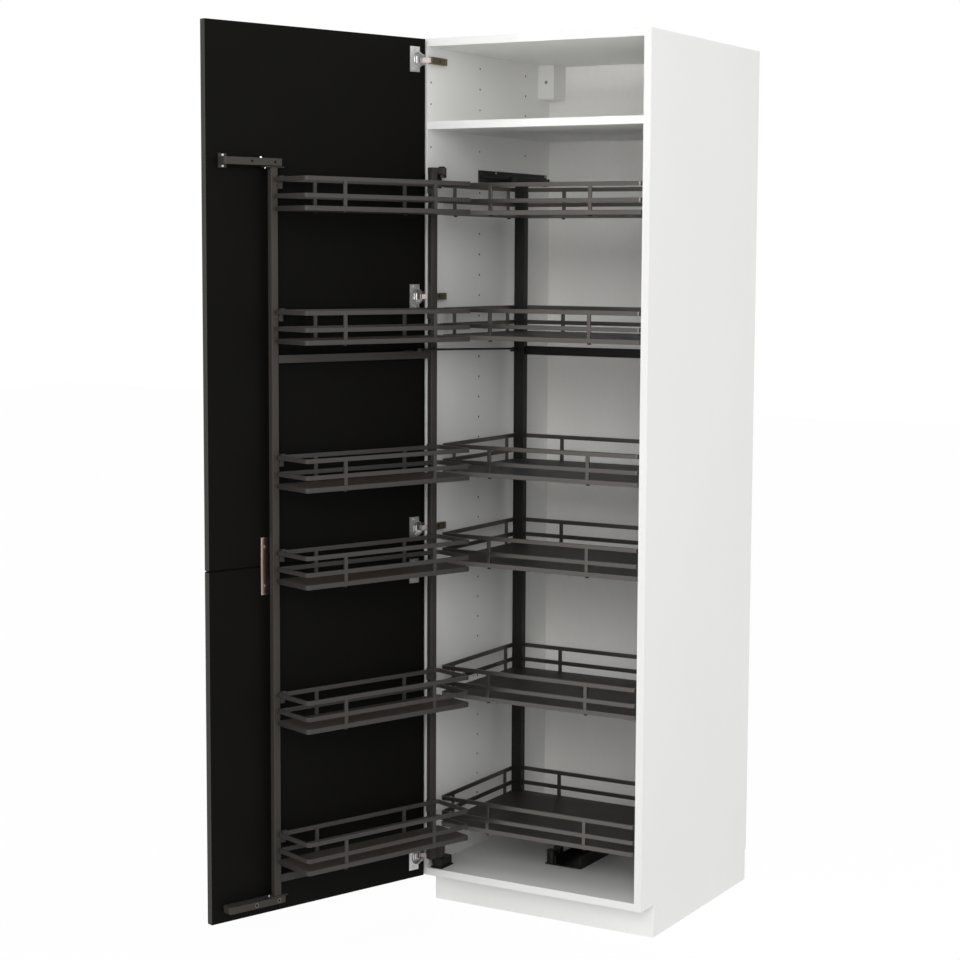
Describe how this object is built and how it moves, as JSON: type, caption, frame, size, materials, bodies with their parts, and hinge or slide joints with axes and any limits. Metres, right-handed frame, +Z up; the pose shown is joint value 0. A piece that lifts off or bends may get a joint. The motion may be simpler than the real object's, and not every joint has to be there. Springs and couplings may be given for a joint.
{
  "type": "kitchen larder cabinet",
  "caption": "Tall white kitchen cabinet on a plinth, with a black hinged door, wire-railed shelves that swing with the door and a second set that slides on the cabinet floor.",
  "frame": {"origin": "on the floor, under the middle of the front plinth board", "axes": "+Z up, -Y out of the front of the cabinet, +X to the right seen from the front"},
  "size_m": [0.8024, 1.1708, 2.08],
  "materials": {
    "white_melamine": "white melamine foil",
    "white_hardboard": "white lacquered board",
    "white_plastic": "satin",
    "black_melamine": "matt black foil",
    "anthracite_steel": "fine matt powder coat",
    "dark_tray_board": "matt melamine",
    "zinc_plated_steel": "satin zinc",
    "bronze_plated_steel": "satin",
    "black_plastic": "satin"
  },
  "bodies": {
    "carcass": {"left_side_panel": "white_melamine", "right_side_panel": "white_melamine", "top_panel": "white_melamine", "bottom_panel": "white_melamine", "back_panel": "white_hardboard", "fixed_shelf": "white_melamine", "shelf_fixings": "zinc_plated_steel", "hanging_brackets": "white_plastic", "front_plinth": "white_melamine", "side_plinths": "white_melamine", "cabinet_legs": "black_plastic", "plinth_clips": "black_plastic", "hinge_plates": "zinc_plated_steel", "hinge_arms": "zinc_plated_steel", "rack_top_pivot": "anthracite_steel", "rack_floor_pivot": "black_plastic", "floor_channel": "anthracite_steel", "floor_stops": "black_plastic", "inner_top_guide": "anthracite_steel"},
    "door": {"upper_door": "black_melamine", "lower_door": "black_melamine", "door_joining_plate": "bronze_plated_steel", "hinge_cups": "zinc_plated_steel", "top_door_guide": "anthracite_steel", "bottom_door_guide": "anthracite_steel", "door_screws": "zinc_plated_steel"},
    "swinging_rack": {"outer_post": "anthracite_steel", "hinge_post": "anthracite_steel", "rack_cross_bars": "anthracite_steel", "rack_sliders": "black_plastic", "rack_pivot_arms": "anthracite_steel", "basket_hooks": "black_plastic", "door_basket_1": "anthracite_steel", "door_basket_2": "anthracite_steel", "door_basket_3": "anthracite_steel", "door_basket_4": "anthracite_steel", "door_basket_5": "anthracite_steel", "door_basket_6": "anthracite_steel", "door_tray_1": "dark_tray_board", "door_tray_2": "dark_tray_board", "door_tray_3": "dark_tray_board", "door_tray_4": "dark_tray_board", "door_tray_5": "dark_tray_board", "door_tray_6": "dark_tray_board"},
    "inner_rack": {"inner_post": "anthracite_steel", "inner_foot": "anthracite_steel", "inner_back_bar": "anthracite_steel", "inner_basket_1": "anthracite_steel", "inner_basket_2": "anthracite_steel", "inner_basket_3": "anthracite_steel", "inner_basket_4": "anthracite_steel", "inner_basket_5": "anthracite_steel", "inner_basket_6": "anthracite_steel", "inner_tray_1": "dark_tray_board", "inner_tray_2": "dark_tray_board", "inner_tray_3": "dark_tray_board", "inner_tray_4": "dark_tray_board", "inner_tray_5": "dark_tray_board", "inner_tray_6": "dark_tray_board"},
    "tie_rod": {"tie_rod": "anthracite_steel"}
  },
  "joints": [
    {"name": "door_hinge", "type": "hinge", "parent": "carcass", "child": "door", "pos_m": [-0.293, -0.09, 1.08], "axis": [0, 0, 1], "range_deg": [0, 110]},
    {"name": "rack_swing", "type": "hinge", "parent": "carcass", "child": "swinging_rack", "pos_m": [-0.256, -0.056, 1], "axis": [0, 0, 1], "range_deg": [0, 108.71]},
    {"name": "inner_slide", "type": "slide", "parent": "carcass", "child": "inner_rack", "axis": [0, 1, 0], "range_m": [0, 0.1626]},
    {"name": "rod_swing", "type": "hinge", "parent": "inner_rack", "child": "tie_rod", "pos_m": [-0.253, 0.28, 1.345], "axis": [0, 0, 1], "range_deg": [0, 12.01]}
  ],
  "couplings": [
    {"joint": "rack_swing", "follows": "door_hinge", "ratio": 0.9882},
    {"joint": "inner_slide", "follows": "door_hinge", "m_per_rad": 0.084641},
    {"joint": "rod_swing", "follows": "door_hinge", "ratio": 0.10913}
  ]
}
